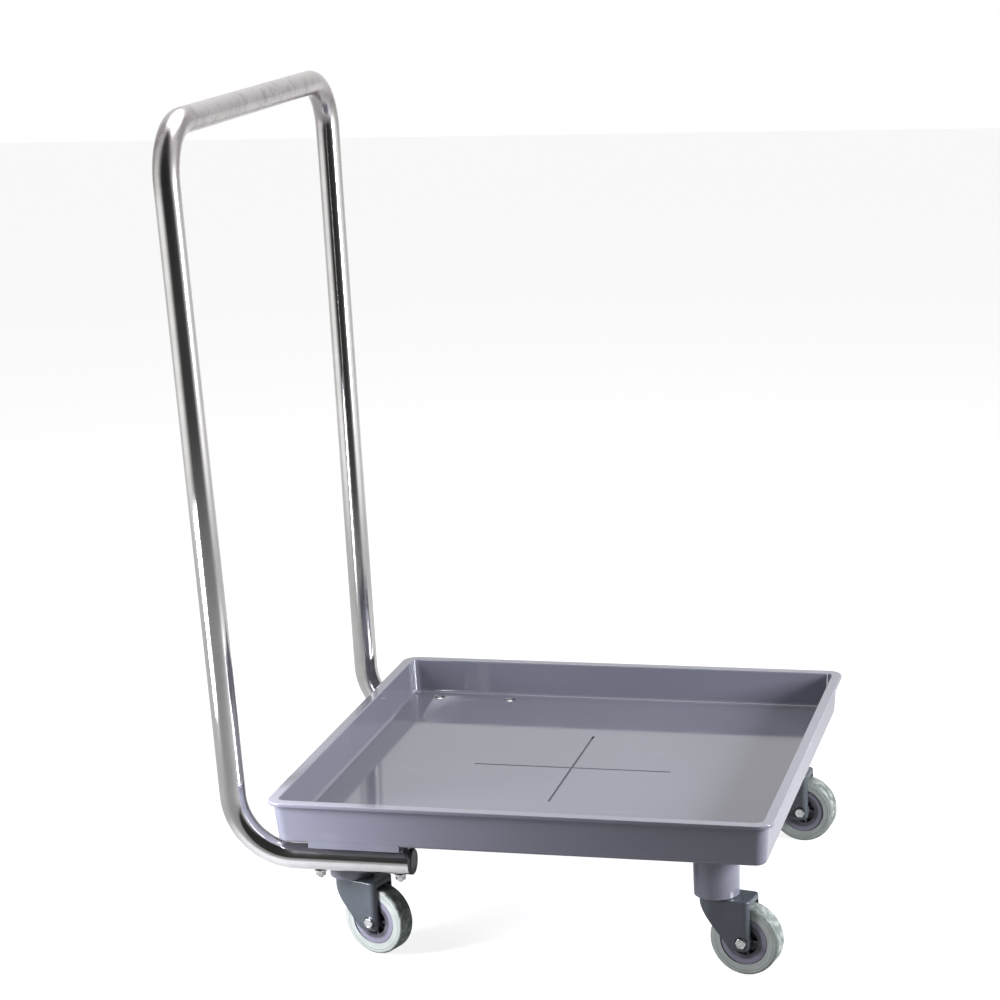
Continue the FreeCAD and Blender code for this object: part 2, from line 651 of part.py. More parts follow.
def build_bolt_set(side):
    """The two bolts, washers and nuts of one leg."""
    seat = f"({DECK_TOP} - dims.bolt_head_height)"
    tube_foot = f"({RUN_HEIGHT} - {TUBE_RADIUS})"
    grip = f"({seat} - {tube_foot})"
    shank = (f"({grip} + dims.washer_thickness + dims.nut_height + dims.bolt_spare)")
    tip = "(dims.bolt_diameter / 8)"
    body = bolt_body(f"tray_bolts_{side}", seat, side)
    sketch = new_sketch(body, f"bolt_outline_{side}", "XZ_Plane")
    radius = "(dims.bolt_diameter / 2)"
    head = "(dims.bolt_head_diameter / 2)"
    polygon(sketch, [
        ("0", f"-{shank}"),
        (f"{radius} - {tip}", f"-{shank}"),
        (radius, f"-{shank} + {tip}"),
        (radius, "0"),
        (head, "0"),
        (head, "dims.bolt_head_height / 3"),
        (f"{head} * 0.7", "dims.bolt_head_height * 0.9"),
        (f"{head} * 0.3", "dims.bolt_head_height"),
        ("0", "dims.bolt_head_height"),
    ])
    four_places(body, revolve(body, sketch, f"bolt_{side}"))
    bodies = [body]

    body = bolt_body(f"tray_washers_{side}", f"{tube_foot} - dims.washer_thickness", side)
    sketch = new_sketch(body, f"washer_outline_{side}", "XY_Plane")
    circle(sketch, "0", "0", "dims.washer_diameter / 2")
    circle(sketch, "0", "0", "dims.bolt_diameter / 2 + dims.bolt_clearance")
    four_places(body, pad(body, sketch, f"washer_{side}", "dims.washer_thickness"))
    bodies.append(body)

    nut_foot = f"{tube_foot} - dims.washer_thickness - dims.nut_height"
    body = bolt_body(f"tray_nuts_{side}", nut_foot, side)
    sketch = new_sketch(body, f"nut_outline_{side}", "XY_Plane")
    hexagon(sketch, "dims.nut_flats")
    circle(sketch, "0", "0", "dims.bolt_diameter / 2 + dims.running_clearance")
    four_places(body, pad(body, sketch, f"nut_{side}", "dims.nut_height"))
    bodies.append(body)
    return bodies


# Casters


def caster_body(label, corner, along="0", height="0"):
    """A body on a caster's stem axis, moved back along the caster's heading."""
    x_sign, y_sign = CASTERS[corner]
    heading = f"dims.heading_{corner}"
    return new_body(
        f"{label}_{corner}",
        x=f"{TRAY_X} + {x_sign} * dims.stem_spacing / 2 + {along} * cos({heading})",
        y=f"{y_sign} * dims.stem_spacing / 2 + {along} * sin({heading})",
        z=height, axis=Vector(0, 0, 1), angle=heading)


def build_socket(corner):
    """The lined sleeve pressed into a boss, with a flange under its face."""
    body = caster_body("stem_socket", corner, height="dims.boss_height")
    bore = "(dims.stem_diameter / 2 + dims.socket_clearance)"
    outer = f"({bore} + dims.socket_wall)"
    depth = "(dims.stem_length + dims.flange_thickness / 2)"
    sketch = new_sketch(body, f"socket_outline_{corner}", "XZ_Plane")
    polygon(sketch, [
        (bore, "-dims.flange_thickness"),
        ("dims.socket_flange / 2", "-dims.flange_thickness"),
        ("dims.socket_flange / 2", "0"),
        (outer, "0"),
        (outer, depth),
        (bore, depth),
    ])
    revolve(body, sketch, f"socket_{corner}")
    return body


def build_stem(corner):
    """The grip stem: shank with a groove, load collar and swivel pin."""
    body = caster_body("caster_stem", corner, height=COLLAR_TOP)
    shank = "(dims.stem_diameter / 2)"
    top = "(dims.stem_length + dims.flange_thickness)"
    groove_high = f"({top} - dims.stem_diameter * 0.6)"
    groove_low = f"({top} - dims.stem_diameter * 0.9)"
    sketch = new_sketch(body, f"stem_outline_{corner}", "XZ_Plane")
    foot = "(dims.collar_thickness + dims.pin_length)"
    polygon(sketch, [
        ("0", f"-{foot}"),
        ("dims.pin_diameter / 2", f"-{foot}"),
        ("dims.pin_diameter / 2", "-dims.collar_thickness"),
        ("dims.race_diameter / 2 - dims.socket_wall", "-dims.collar_thickness"),
        ("dims.race_diameter / 2 - dims.socket_wall", "0"),
        (shank, "0"),
        (shank, groove_low),
        (f"{shank} - dims.stem_groove", groove_low),
        (f"{shank} - dims.stem_groove", groove_high),
        (shank, groove_high),
        (shank, f"{top} - dims.stem_groove"),
        (f"{shank} - dims.stem_groove", top),
        ("0", top),
    ])
    revolve(body, sketch, f"stem_{corner}")
    return body


def build_race(corner):
    """The bearing ring that runs round the swivel pin."""
    body = caster_body("swivel_bearing", corner, height=RACE_FOOT)
    sketch = new_sketch(body, f"race_outline_{corner}", "XZ_Plane")
    bore = "(dims.pin_diameter / 2 + dims.running_clearance)"
    rectangle(sketch, bore, "0", "dims.race_diameter / 2", "dims.race_height")
    revolve(body, sketch, f"race_{corner}")
    return body


def build_fork(corner):
    """The moulded fork: a round-fronted crown, cut back to two tapering legs."""
    body = caster_body("fork", corner)
    rear = "(dims.trail + dims.fork_back)"
    plan = new_sketch(body, f"crown_plan_{corner}", "XY_Plane", FORK_TOP)
    left = add_line(plan, ("0", LEG_FACE), (f"{rear} - dims.crown_corner", LEG_FACE))
    back = add_line(plan, (rear, f"{LEG_FACE} - dims.crown_corner"),
                    (rear, f"-({LEG_FACE} - dims.crown_corner)"))
    right = add_line(plan, (f"{rear} - dims.crown_corner", f"-{LEG_FACE}"),
                     ("0", f"-{LEG_FACE}"))
    add_arc(plan, left, back)
    add_arc(plan, back, right)
    add_arc(plan, right, left)
    foot = f"({AXLE_HEIGHT} - dims.fork_bottom)"
    pad(body, plan, f"crown_{corner}", f"{FORK_TOP} - {foot}", down=True)

    side = new_sketch(body, f"leading_edge_{corner}", "XZ_Plane")
    front = f"-({LEG_FACE} + 1)"
    edge_foot = f"({front} + (dims.fork_front_height - {foot}) / tan(dims.fork_slope))"
    polygon(side, [
        (front, f"{foot} - 1"),
        (f"{edge_foot} + 1 / tan(dims.fork_slope)", f"{foot} - 1"),
        (front, "dims.fork_front_height"),
    ])
    pocket(body, side, f"slant_{corner}", "dims.fork_width + 2", middle=True)
    doc.recompute()
    level = number(foot)
    round_edges(body, f"leg_ends_{corner}", "dims.fork_end_round",
                lambda edge: across(edge, level))

    throat = new_sketch(body, f"throat_{corner}", "XZ_Plane")
    circle(throat, "dims.trail", AXLE_HEIGHT, "dims.fork_throat")
    pocket(body, throat, f"wheel_room_{corner}", "dims.fork_gap", middle=True)

    crown = number(FORK_TOP)
    round_edges(body, f"crown_edge_{corner}", "dims.crown_round",
                lambda edge: lies_at(edge, crown))

    seat = new_sketch(body, f"race_seat_{corner}", "XY_Plane", FORK_TOP)
    circle(seat, "0", "0", "dims.race_diameter / 2 + dims.running_clearance")
    pocket(body, seat, f"race_room_{corner}", f"{FORK_TOP} - {RACE_FOOT}")
    pin = new_sketch(body, f"pin_hole_{corner}", "XY_Plane", FORK_TOP)
    circle(pin, "0", "0", "dims.pin_diameter / 2 + dims.running_clearance")
    pocket(body, pin, f"pin_bore_{corner}", f"{FORK_TOP} - {AXLE_HEIGHT}")

    hole = new_sketch(body, f"axle_hole_{corner}", "XZ_Plane")
    circle(hole, "dims.trail", AXLE_HEIGHT, "dims.axle_diameter / 2 + dims.running_clearance")
    pocket(body, hole, f"axle_bore_{corner}", "dims.fork_width + 2", middle=True)
    for name, place, reverse in (("head", LEG_FACE, False), ("nut", f"-({LEG_FACE})", True)):
        recess = new_sketch(body, f"{name}_recess_{corner}", "XZ_Plane", place)
        circle(recess, "dims.trail", AXLE_HEIGHT, "dims.axle_recess_diameter / 2")
        pocket(body, recess, f"{name}_room_{corner}", "dims.axle_recess", up=reverse)
    return body


def across(edge, level):
    """True for an edge that runs straight across the fork at a level."""
    box = edge.BoundBox
    return lies_at(edge, level) and box.XLength < 0.01 and box.YLength > 1


def build_hub(corner):
    """The hub: rim, thin web with spokes on both sides, and nave."""
    body = caster_body("wheel_hub", corner, along="dims.trail", height=AXLE_HEIGHT)
    bore = "(dims.sleeve_diameter / 2 + dims.running_clearance)"
    nave = "(dims.nave_diameter / 2)"
    nave_half = "(dims.fork_gap / 2 - dims.nave_gap)"
    face = "(dims.hub_width / 2)"
    floor = f"({face} - dims.recess_depth)"
    half = [
        (bore, nave_half),
        (nave, nave_half),
        (nave, floor),
        ("dims.recess_outer / 2 - 1", floor),
        ("dims.recess_outer / 2", face),
        ("dims.hub_diameter / 2 - 1", face),
        ("dims.hub_diameter / 2", f"{face} - 1"),
    ]
    other = [(radius, f"-({width})") for radius, width in reversed(half)]
    sketch = new_sketch(body, f"hub_outline_{corner}", "XY_Plane")
    polygon(sketch, half + other)
    revolve(body, sketch, f"hub_{corner}")
    spoke = new_sketch(body, f"spoke_plan_{corner}", "XZ_Plane")
    rectangle(spoke, f"{nave} - 1", "-dims.spoke_width / 2",
              "dims.recess_outer / 2 + 1", "dims.spoke_width / 2")
    one = pad(body, spoke, f"spoke_{corner}", "dims.hub_width - 2 * dims.spoke_inset",
              middle=True)
    repeat(body, "PolarPattern", f"spokes_{corner}", [one],
           Axis=(origin_part(body, "Y_Axis"), [""]), Angle=360, Occurrences=SPOKES)
    return body


def build_tyre(corner):
    """The soft tyre moulded round the hub."""
    body = caster_body("tyre", corner, along="dims.trail", height=AXLE_HEIGHT)
    sketch = new_sketch(body, f"tyre_outline_{corner}", "XY_Plane")
    rectangle(sketch, "dims.hub_diameter / 2 + dims.hub_seat_gap", "-dims.tyre_width / 2",
              "dims.wheel_diameter / 2", "dims.tyre_width / 2")
    revolve(body, sketch, f"ring_{corner}")
    outer = number("dims.wheel_diameter / 2")
    round_edges(body, f"shoulders_{corner}", "dims.tyre_shoulder",
                lambda edge: isinstance(edge.Curve, Part.Circle)
                and abs(edge.Curve.Radius - outer) < 0.01)
    return body


def build_sleeve(corner):
    """The steel sleeve that the legs clamp and the hub turns on."""
    body = caster_body("axle_sleeve", corner, along="dims.trail", height=AXLE_HEIGHT)
    sketch = new_sketch(body, f"sleeve_rings_{corner}", "XZ_Plane")
    circle(sketch, "0", "0", "dims.sleeve_diameter / 2")
    circle(sketch, "0", "0", "dims.axle_diameter / 2 + dims.running_clearance")
    pad(body, sketch, f"sleeve_{corner}", "dims.fork_gap", middle=True)
    return body


def build_axle(corner):
    """The axle bolt, its head towards the caster's right leg."""
    body = caster_body("axle_bolt", corner, along="dims.trail", height=AXLE_HEIGHT)
    head = new_sketch(body, f"axle_head_{corner}", "XZ_Plane", RECESS_FLOOR)
    hexagon(head, "dims.nut_flats")
    pad(body, head, f"axle_hex_{corner}", "dims.axle_head")
    shank = new_sketch(body, f"axle_shank_{corner}", "XZ_Plane", RECESS_FLOOR)
    circle(shank, "0", "0", "dims.axle_diameter / 2")
    pad(body, shank, f"axle_rod_{corner}",
        f"2 * {RECESS_FLOOR} + dims.axle_nut + dims.axle_spare", down=True)
    return body


def build_axle_nut(corner):
    """The nut on the caster's left leg."""
    body = caster_body("axle_nut", corner, along="dims.trail", height=AXLE_HEIGHT)
    sketch = new_sketch(body, f"axle_nut_plan_{corner}", "XZ_Plane", f"-({RECESS_FLOOR})")
    hexagon(sketch, "dims.nut_flats")
    circle(sketch, "0", "0", "dims.axle_diameter / 2 + dims.running_clearance")
    pad(body, sketch, f"axle_nut_hex_{corner}", "dims.axle_nut", down=True)
    return body


def build_all():
    """Every sub-part, in the order that the dolly goes together."""
    bodies = [build_tray(), build_hoop()]
    for side, sign in SIDES.items():
        bodies += [build_leg(side, sign), build_spigot(side, sign), build_cap(side, sign)]
        bodies += build_bolt_set(side)
    caster_parts = (build_socket, build_stem, build_race, build_fork, build_hub,
                    build_tyre, build_sleeve, build_axle, build_axle_nut)
    for corner in CASTERS:
        bodies += [build_piece(corner) for build_piece in caster_parts]
    return bodies


def check_document(bodies):
    """Stop on any object that failed, or any sub-part without a sound shape."""
    for item in doc.Objects:
        if "Invalid" in item.State or "Error" in item.State:
            raise RuntimeError(f"{item.Name} failed: {item.State}")
    for body in bodies:
        shape = body.Shape
        if shape.isNull() or not shape.isValid() or not shape.Solids:
            raise RuntimeError(f"{body.Label} has no sound solid")


def write_parts(bodies):
    """One STEP file for each sub-part."""
    os.makedirs("parts", exist_ok=True)
    for body in bodies:
        body.Shape.exportStep(f"parts/{body.Label}.step")


sub_parts = build_all()
doc.recompute()
check_document(sub_parts)
write_parts(sub_parts)
print(f"{len(sub_parts)} sub-parts, tray centre at x = {number(TRAY_X):.2f} mm")
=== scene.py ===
import json
import math

import bmesh
import bpy
from mathutils import Matrix, Vector


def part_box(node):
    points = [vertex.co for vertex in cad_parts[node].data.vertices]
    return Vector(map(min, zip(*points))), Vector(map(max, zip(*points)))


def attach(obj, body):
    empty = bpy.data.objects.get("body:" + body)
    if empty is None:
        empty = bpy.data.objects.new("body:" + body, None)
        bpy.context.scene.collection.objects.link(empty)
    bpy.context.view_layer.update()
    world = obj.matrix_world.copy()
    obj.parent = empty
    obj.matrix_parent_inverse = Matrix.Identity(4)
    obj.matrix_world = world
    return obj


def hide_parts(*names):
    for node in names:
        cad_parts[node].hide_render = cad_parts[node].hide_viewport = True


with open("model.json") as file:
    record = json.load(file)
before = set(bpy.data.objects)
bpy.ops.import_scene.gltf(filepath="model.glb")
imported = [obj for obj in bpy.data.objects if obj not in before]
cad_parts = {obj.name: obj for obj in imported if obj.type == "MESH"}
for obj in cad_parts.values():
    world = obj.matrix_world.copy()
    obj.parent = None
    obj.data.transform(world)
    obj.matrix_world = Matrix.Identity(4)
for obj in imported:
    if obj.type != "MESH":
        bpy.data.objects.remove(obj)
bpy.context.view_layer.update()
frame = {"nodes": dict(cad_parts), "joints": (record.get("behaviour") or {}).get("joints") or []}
joints = {joint["name"]: joint for joint in frame["joints"]}

# Glass rack dolly. Metres, in the dolly's own frame: +X the way it is pushed,
# +Z up, the handle at -X. Corners and sides are named as on the dolly.

CORNERS = ("front_right", "front_left", "rear_right", "rear_left")
SIDES = ("right", "left")


# Camera

CAMERA_PLACE = (0.7428, -2.8905, 1.1597)
CAMERA_TURN = 0.2616
CAMERA_TILT = 0.2326
CAMERA_ROLL = -0.0426
SENSOR_WIDTH = 36.0
FOCAL_LENGTH = 100.32


def place_camera():
    """A long lens on the dolly's right front, turned and tilted as in the photograph."""
    lens = bpy.data.cameras.new("camera")
    lens.sensor_width = SENSOR_WIDTH
    lens.lens = FOCAL_LENGTH
    lens.clip_start = 0.1
    lens.clip_end = 60.0
    camera = bpy.data.objects.new("camera", lens)
    bpy.context.scene.collection.objects.link(camera)
    aim = (Matrix.Rotation(CAMERA_TURN, 4, "Z")
           @ Matrix.Rotation(math.pi / 2 - CAMERA_TILT, 4, "X")
           @ Matrix.Rotation(CAMERA_ROLL, 4, "Z"))
    camera.matrix_world = Matrix.Translation(CAMERA_PLACE) @ aim
    bpy.context.scene.camera = camera
    bpy.context.scene.view_settings.view_transform = "Standard"


# Stage and light

# How strongly the studio lights matt surfaces, as a share of what shiny ones mirror
AMBIENT = 0.42
# Part of that light comes evenly from everywhere, in this colour
FILL_SHARE = 0.2
FILL = (0.35, 0.35, 0.37, 1.0)
# The side of the studio that the camera stands on is dark, as polished tubes show
DARK_SIDE = Vector((0.25, -0.97, 0.0)).normalized()
# Brightness round the studio, by the cosine of the angle from that side
STUDIO = ((-1.0, 1.0), (-0.86, 0.95), (-0.7, 0.55), (-0.3, 0.6), (-0.1, 1.0), (0.42, 1.0),
          (0.66, 0.4), (0.82, 0.04), (1.0, 0.03))
# What shiny surfaces mirror of the floor near the dolly, and the paint of the floor far off
NEAR_GLINT = ((-1.0, 0.42), (0.2, 0.36), (0.75, 0.12), (1.0, 0.12))
FAR_PAINT = ((-1.0, 0.3), (0.2, 0.3), (0.75, 0.04), (1.0, 0.04))
NEAR_PAINT = (0.3, 0.3, 0.3, 1.0)
# The floor is near up to the first distance from the dolly and far from the second on
FLOOR_NEAR = 1.3
FLOOR_FAR = 2.7
# Half the floor's width, how far its middle lies beyond the dolly, and how far it lies below
FLOOR_HALF = 6.0
FLOOR_BEHIND = 2.0
FLOOR_DROP = 0.0002
WHITE = (1.0, 1.0, 1.0, 1.0)
BLACK = (0.0, 0.0, 0.0, 1.0)


def link(obj):
    """Put an object in the scene."""
    bpy.context.scene.collection.objects.link(obj)
    return obj


def node_maker(tree):
    """A maker of nodes in a tree: their properties, and their inputs by name or place."""

    def node(kind, **settings):
        made = tree.nodes.new(kind)
        inputs = settings.pop("inputs", {})
        for key, value in settings.items():
            setattr(made, key, value)
        for key, value in inputs.items():
            if kind == "ShaderNodeMix" and made.data_type == "RGBA":
                sockets = {"Factor": 0, "A": 6, "B": 7}
                socket = made.inputs[sockets[key]]
            else:
                socket = made.inputs[key]
            if isinstance(value, bpy.types.NodeSocket):
                tree.links.new(value, socket)
            else:
                socket.default_value = value
        return made

    return node


def new_material(name):
    """A material with its node tree, its shader and a maker of nodes."""
    material = bpy.data.materials.new(name)
    material.use_nodes = True
    tree = material.node_tree
    return material, tree, tree.nodes["Principled BSDF"], node_maker(tree)


def round_ramp(node, cosine, levels):
    """Levels round the studio, read at the cosine of the angle from the dark side."""
    share = node("ShaderNodeMapRange", inputs={"Value": cosine, "From Min": -1.0, "From Max": 1.0})
    ramp = node("ShaderNodeValToRGB", inputs={0: share.outputs[0]})
    points = ramp.color_ramp.elements
    while len(points) < len(levels):
        points.new(0.5)
    for point, (place, level) in zip(points, levels):
        point.position = (place + 1.0) / 2.0
        point.color = (level, level, level, 1.0)
    return ramp.outputs["Color"]


def rays(node, *kinds):
    """1 for any of these kinds of ray, otherwise 0."""
    path = node("ShaderNodeLightPath")
    total = path.outputs[kinds[0]]
    for kind in kinds[1:]:
        total = node("ShaderNodeMath", operation="MAXIMUM",
                     inputs={0: total, 1: path.outputs[kind]}).outputs[0]
    return total


def build_stage():
    """A pale floor that shows white behind the dolly and keeps its shadow."""
    mesh = bpy.data.meshes.new("floor")
    work = bmesh.new()
    bmesh.ops.create_grid(work, x_segments=1, y_segments=1, size=FLOOR_HALF)
    work.to_mesh(mesh)
    work.free()
    floor = link(bpy.data.objects.new("floor", mesh))
    floor.location = (0.0, FLOOR_BEHIND, -FLOOR_DROP)
    material, tree, shader, node = new_material("floor_paint")
    shader.inputs["Roughness"].default_value = 0.9
    shader.inputs["Specular IOR Level"].default_value = 0.1
    place = node("ShaderNodeTexCoord").outputs["Object"]
    spot = node("ShaderNodeVectorMath", operation="ADD",
                inputs={0: place, 1: (0.0, FLOOR_BEHIND, 0.0)})
    reach = node("ShaderNodeVectorMath", operation="LENGTH", inputs={0: spot.outputs[0]})
    way = node("ShaderNodeVectorMath", operation="NORMALIZE", inputs={0: spot.outputs[0]})
    cosine = node("ShaderNodeVectorMath", operation="DOT_PRODUCT",
                  inputs={0: way.outputs[0], 1: DARK_SIDE})
    turn = cosine.outputs["Value"]
    away = node("ShaderNodeMapRange", interpolation_type="SMOOTHSTEP", inputs={
        "Value": reach.outputs["Value"], "From Min": FLOOR_NEAR,
        "From Max": FLOOR_FAR}).outputs[0]
    paint = node("ShaderNodeMix", data_type="RGBA", inputs={
        "Factor": away, "A": NEAR_PAINT, "B": round_ramp(node, turn, FAR_PAINT)})
    tree.links.new(paint.outputs[2], shader.inputs["Base Color"])
    white = node("ShaderNodeMix", data_type="RGBA", blend_type="SUBTRACT", clamp_result=True,
                 inputs={"Factor": 0.5, "A": WHITE, "B": paint.outputs[2]})
    glint = node("ShaderNodeMix", data_type="RGBA", inputs={
        "Factor": away, "A": round_ramp(node, turn, NEAR_GLINT),
        "B": round_ramp(node, turn, STUDIO)})
    glossy = node("ShaderNodeMix", data_type="RGBA", inputs={
        "Factor": rays(node, "Is Glossy Ray"), "A": BLACK, "B": glint.outputs[2]})
    seen = node("ShaderNodeMix", data_type="RGBA", inputs={
        "Factor": rays(node, "Is Camera Ray", "Is Transmission Ray"),
        "A": glossy.outputs[2], "B": white.outputs[2]})
    tree.links.new(seen.outputs[2], shader.inputs["Emission Color"])
    shader.inputs["Emission Strength"].default_value = 1.0
    floor.data.materials.append(material)


def build_world():
    """A studio: white behind and at the sides, dark on the side of the camera."""
    world = bpy.data.worlds.new("studio")
    world.use_nodes = True
    bpy.context.scene.world = world
    tree = world.node_tree
    node = node_maker(tree)
    back = tree.nodes["Background"]
    way = node("ShaderNodeTexCoord").outputs["Generated"]
    level = node("ShaderNodeVectorMath", operation="MULTIPLY", inputs={0: way, 1: (1.0, 1.0, 0.0)})
    flat = node("ShaderNodeVectorMath", operation="NORMALIZE", inputs={0: level.outputs[0]})
    cosine = node("ShaderNodeVectorMath", operation="DOT_PRODUCT",
                  inputs={0: flat.outputs[0], 1: DARK_SIDE})
    studio = round_ramp(node, cosine.outputs["Value"], STUDIO)
    soft = node("ShaderNodeMix", data_type="RGBA", inputs={
        "Factor": FILL_SHARE, "A": studio, "B": FILL})
    dim = node("ShaderNodeVectorMath", operation="SCALE",
               inputs={0: soft.outputs[2], "Scale": AMBIENT})
    lit = node("ShaderNodeMix", data_type="RGBA", inputs={
        "Factor": rays(node, "Is Glossy Ray"), "A": dim.outputs[0], "B": studio})
    seen = node("ShaderNodeMix", data_type="RGBA", inputs={
        "Factor": rays(node, "Is Camera Ray", "Is Transmission Ray"),
        "A": lit.outputs[2], "B": WHITE})
    tree.links.new(seen.outputs[2], back.inputs["Color"])
    back.inputs["Strength"].default_value = 1.0


def lamp(name, place, target, size, power, beam=180.0, tint=(1.0, 1.0, 1.0)):
    """A soft box that faces a point, with its width and height and its beam in degrees."""
    light = bpy.data.lights.new(name, "AREA")
    light.shape = "RECTANGLE"
    light.size, light.size_y = size
    light.energy = power
    light.color = tint
    light.spread = math.radians(beam)
    obj = link(bpy.data.objects.new(name, light))
    away = Vector(place) - Vector(target)
    obj.matrix_world = Matrix.Translation(place) @ away.to_track_quat("Z", "Y").to_matrix().to_4x4()
    obj.visible_camera = False


def build_lights():
    """Soft boxes to the left and right of the view and one overhead."""
    lamp("overhead", (0.1, 0.6, 2.4), (0.0, 0.1, 0.1), (2.0, 1.6), power=42.0)
    lamp("left_box", (-0.46, -0.45, 0.3), (-0.2, -0.26, 0.16), (0.14, 0.3), power=3.0,
         beam=110.0, tint=(0.96, 0.97, 1.06))
    lamp("right_box", (1.35, -0.2, 0.6), (0.1, 0.0, 0.15), (0.3, 0.4), power=17.0,
         beam=120.0, tint=(0.96, 0.98, 1.06))


# Materials

# Colours of the pieces, and of the wear, dirt and dust on them, with a painted highlight on the
# rim's top and a darkening of the hubs towards their axles
TRAY_COLOUR = (0.132, 0.132, 0.16)
# The rim's top, lighter for its wear and for a painted highlight of the light it catches
RIM_WEAR_AND_HIGHLIGHT = (0.22, 0.22, 0.25)
SCRATCH = (0.3, 0.3, 0.33)
DUST = (0.3, 0.3, 0.29)
CAP_BLACK = (0.008, 0.008, 0.009)
FORK_CHARCOAL = (0.05, 0.058, 0.066)
TYRE_RUBBER = (0.32, 0.342, 0.315)
TREAD_DIRT = (0.085, 0.1, 0.088)
TYRE_STAIN = (0.23, 0.25, 0.225)
HUB_GREY = (0.17, 0.163, 0.205)
# Near black, to darken the hubs towards their axles
HUB_AXLE_DARK = (0.022, 0.022, 0.025)
STEEL = (0.72, 0.71, 0.7)
GRIP_TARNISH = (0.47, 0.435, 0.44)
GRIP_BLOTCH = (0.24, 0.215, 0.22)
ZINC = (0.74, 0.74, 0.72)
DULL_ZINC = (0.42, 0.42, 0.41)
# Heights that the wear, the rim's painted highlight and the grain follow
RIM_FOOT = 0.1815
RIM_TOP = 0.1838
GRIP_FOOT = 0.8
GRIP_FULL = 0.875
# Distances from the axle: the tyre's tread, the ring on its side, the hub's darkening towards the
# axle
TREAD_FROM = 0.0345
TREAD_FULL = 0.0368
RING_INNER = (0.0312, 0.0316)
RING_OUTER = (0.0324, 0.0328)
AXLE_DARK_FROM = 0.0215
AXLE_DARK_FULL = 0.0185


def object_place(node):
    """Where a point lies on its own piece, at rest in the dolly's frame."""
    return node("ShaderNodeTexCoord").outputs["Object"]


def noise(node, place, scale, detail=3.0, rough=0.5):
    """Cloudy noise, about 0.3 to 0.7."""
    return node("ShaderNodeTexNoise", inputs={"Vector": place, "Scale": scale, "Detail": detail,
                                              "Roughness": rough}).outputs["Fac"]


def spread(node, value, low, high, to_low=0.0, to_high=1.0, smooth=False):
    """A value's range mapped on another, clamped."""
    kind = "SMOOTHSTEP" if smooth else "LINEAR"
    return node("ShaderNodeMapRange", interpolation_type=kind, inputs={
        "Value": value, "From Min": low, "From Max": high, "To Min": to_low,
        "To Max": to_high}).outputs[0]


def times(node, *values):
    """The product of numbers."""
    total = values[0]
    for value in values[1:]:
        total = node("ShaderNodeMath", operation="MULTIPLY", inputs={0: total, 1: value}).outputs[0]
    return total


def mix_colours(node, share, first, second):
    """A share of the way from one colour to another."""
    colours = [tuple(c) + (1.0,) if isinstance(c, tuple) and len(c) == 3 else c
               for c in (first, second)]
    return node("ShaderNodeMix", data_type="RGBA", inputs={
        "Factor": share, "A": colours[0], "B": colours[1]}).outputs[2]


def scaled(node, colour, tone):
    """A colour made lighter or darker."""
    return node("ShaderNodeVectorMath", operation="SCALE",
                inputs={0: colour, "Scale": tone}).outputs[0]


def scratches(node, place, turn, scale, share):
    """Hairline scratches along one heading: 1 on a line, 0 beside it."""
    turned = node("ShaderNodeMapping", inputs={
        "Vector": place, "Rotation": (0.0, 0.0, turn), "Scale": (scale, scale * 40.0, scale)})
    lines = noise(node, turned.outputs[0], 1.0, 2.0)
    patches = noise(node, place, 14.0, 2.0)
    return times(node, spread(node, lines, share, share + 0.03),
                 spread(node, patches, 0.48, 0.62))


def bump(tree, node, shader, height, distance, strength=1.0):
    """Relief on the surface."""
    relief = node("ShaderNodeBump", inputs={
        "Height": height, "Distance": distance, "Strength": strength})
    tree.links.new(relief.outputs[0], shader.inputs["Normal"])


def tray_plastic():
    """Glossy grey moulded plastic: faint flow marks, hairline scratches, a rim top made lighter for
    wear and a painted highlight.
    """
    material, tree, shader, node = new_material("tray_grey")
    place = object_place(node)
    flow = spread(node, noise(node, place, 5.0, 2.0), 0.3, 0.7, 0.96, 1.04)
    lines = node("ShaderNodeMath", operation="MAXIMUM", inputs={
        0: scratches(node, place, 0.5, 5.0, 0.66),
        1: scratches(node, place, 2.2, 4.0, 0.67)}).outputs[0]
    height = node("ShaderNodeSeparateXYZ", inputs={0: place}).outputs["Z"]
    # The rim's top made lighter: wear, and a painted highlight
    rim = times(node, spread(node, height, RIM_FOOT, RIM_TOP, smooth=True),
                spread(node, noise(node, place, 240.0, 4.0), 0.3, 0.6, 0.8, 1.0))
    base = scaled(node, TRAY_COLOUR, flow)
    worn_and_highlit = mix_colours(node, times(node, rim, 0.6), base, RIM_WEAR_AND_HIGHLIGHT)
    marked = mix_colours(node, times(node, lines, 0.1), worn_and_highlit, SCRATCH)
    tree.links.new(marked, shader.inputs["Base Color"])
    smear = spread(node, noise(node, place, 22.0, 5.0), 0.35, 0.7, 0.045, 0.1)
    gloss = node("ShaderNodeMath", operation="MULTIPLY_ADD",
                 inputs={0: lines, 1: 0.1, 2: smear}).outputs[0]
    tree.links.new(gloss, shader.inputs["Roughness"])
    grain = noise(node, place, 850.0, 2.0)
    waves = noise(node, place, 18.0, 1.0)
    relief = node("ShaderNodeMath", operation="MULTIPLY_ADD",
                  inputs={0: waves, 1: 6.0, 2: grain}).outputs[0]
    bump(tree, node, shader, relief, 0.000008)
    shader.inputs["IOR"].default_value = 1.52
    return material


def moulded_plastic(name, colour, roughness, grain, depth):
    """Fine-grained moulded plastic: slight mottle, wandering gloss, pale dust."""
    material, tree, shader, node = new_material(name)
    place = object_place(node)
    mottle = spread(node, noise(node, place, 30.0, 3.0), 0.3, 0.7, 0.9, 1.1)
    dust = spread(node, noise(node, place, 140.0, 5.0, 0.7), 0.56, 0.75, 0.0, 0.08)
    tree.links.new(mix_colours(node, dust, scaled(node, colour, mottle), DUST),
                   shader.inputs["Base Color"])
    smear = noise(node, place, 60.0, 5.0)
    tree.links.new(spread(node, smear, 0.35, 0.7, roughness * 0.8, roughness * 1.35),
                   shader.inputs["Roughness"])
    bump(tree, node, shader, noise(node, place, grain, 2.0), depth)
    shader.inputs["IOR"].default_value = 1.5
    return material


